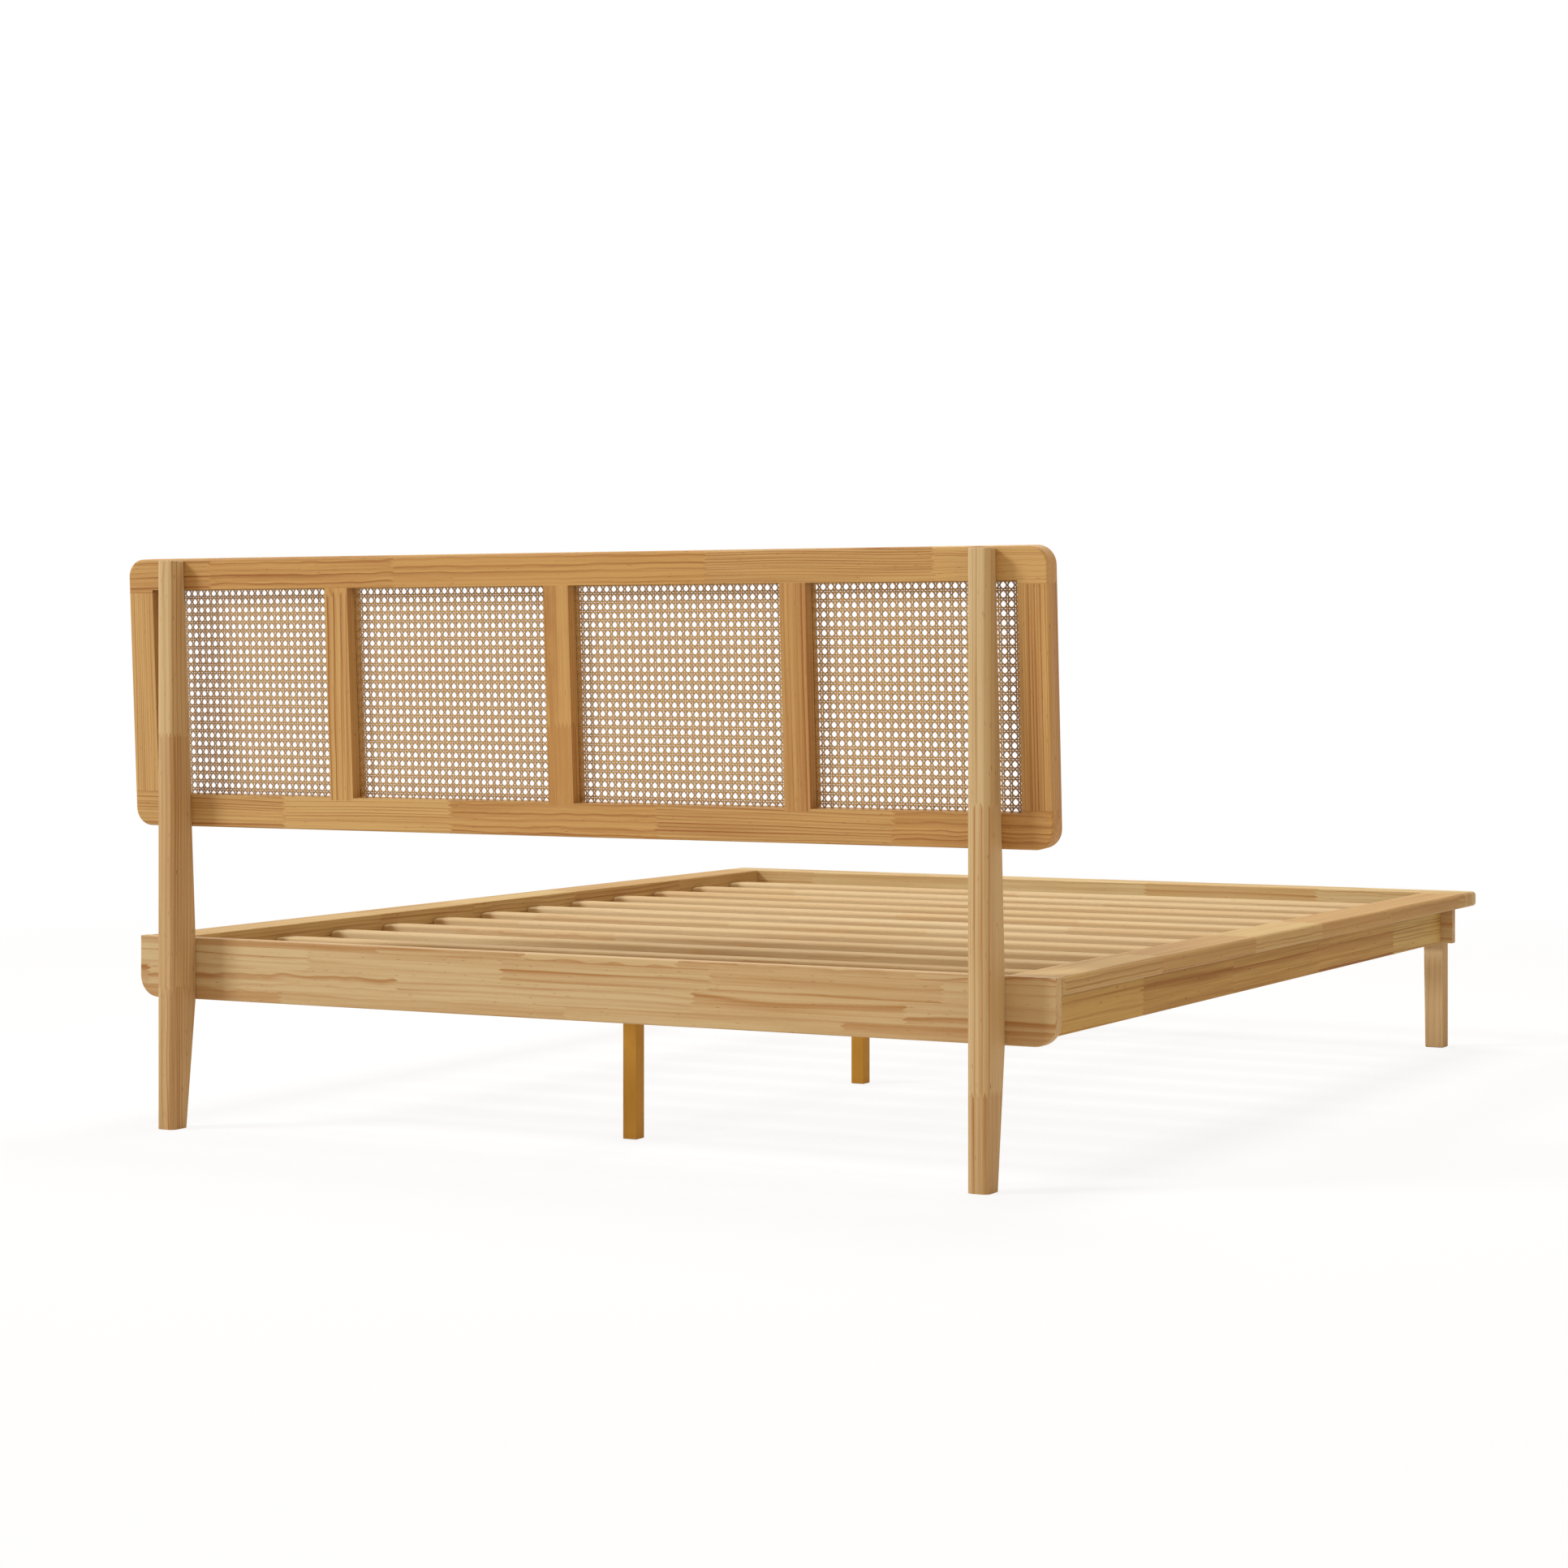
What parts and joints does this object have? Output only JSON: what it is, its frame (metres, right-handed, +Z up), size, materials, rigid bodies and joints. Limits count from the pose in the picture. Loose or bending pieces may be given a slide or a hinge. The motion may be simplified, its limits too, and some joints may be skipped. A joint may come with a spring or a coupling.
{
  "type": "platform bed",
  "caption": "Low slatted platform bed in light pine, with a wide rimmed base and a leaning headboard whose frame holds woven cane panels between square-backed posts.",
  "frame": {"origin": "on the floor under the middle of the bed's length and width", "axes": "+Z up, +Y from the foot to the headboard, +X to the left in the picture, which shows the bed from behind its headboard"},
  "size_m": [1.7, 2.216, 0.9611],
  "materials": {
    "pine": "satin varnish",
    "headboard_pine": "satin varnish",
    "slat_pine": "bare planed wood",
    "brown_pine": "satin stain",
    "cane": "open woven strands",
    "steel": "zinc plated",
    "sleeve_brass": "turned"
  },
  "bodies": {
    "root": {"beam_hangers": "steel", "bracket_screws": "steel", "cane_panel_1": "cane", "cane_panel_2": "cane", "cane_panel_3": "cane", "cane_panel_4": "cane", "centre_beam": "brown_pine", "corner_brackets": "steel", "foot_apron": "pine", "foot_board": "pine", "foot_leg_bolts": "steel", "foot_leg_sleeves": "sleeve_brass", "hanger_screws": "steel", "head_rail": "pine", "head_rail_bolts": "steel", "head_rail_sleeves": "sleeve_brass", "headboard_bolts": "steel", "headboard_bottom_rail": "headboard_pine", "headboard_left_stile": "headboard_pine", "headboard_muntin_1": "headboard_pine", "headboard_muntin_2": "headboard_pine", "headboard_muntin_3": "headboard_pine", "headboard_right_stile": "headboard_pine", "headboard_sleeves": "sleeve_brass", "headboard_top_rail": "headboard_pine", "left_foot_leg": "pine", "left_post": "pine", "left_side_apron": "pine", "left_side_board": "pine", "left_slat_ledge": "slat_pine", "lower_cane_beads": "pine", "middle_leg_1": "brown_pine", "middle_leg_2": "brown_pine", "middle_leg_3": "brown_pine", "middle_leg_studs": "steel", "right_foot_leg": "pine", "right_post": "pine", "right_side_apron": "pine", "right_side_board": "pine", "right_slat_ledge": "slat_pine", "slat_01": "slat_pine", "slat_02": "slat_pine", "slat_03": "slat_pine", "slat_04": "slat_pine", "slat_05": "slat_pine", "slat_06": "slat_pine", "slat_07": "slat_pine", "slat_08": "slat_pine", "slat_09": "slat_pine", "slat_10": "slat_pine", "slat_11": "slat_pine", "slat_12": "slat_pine", "slat_pegs": "slat_pine", "upper_cane_beads": "pine", "upright_cane_beads": "pine"}
  },
  "joints": []
}
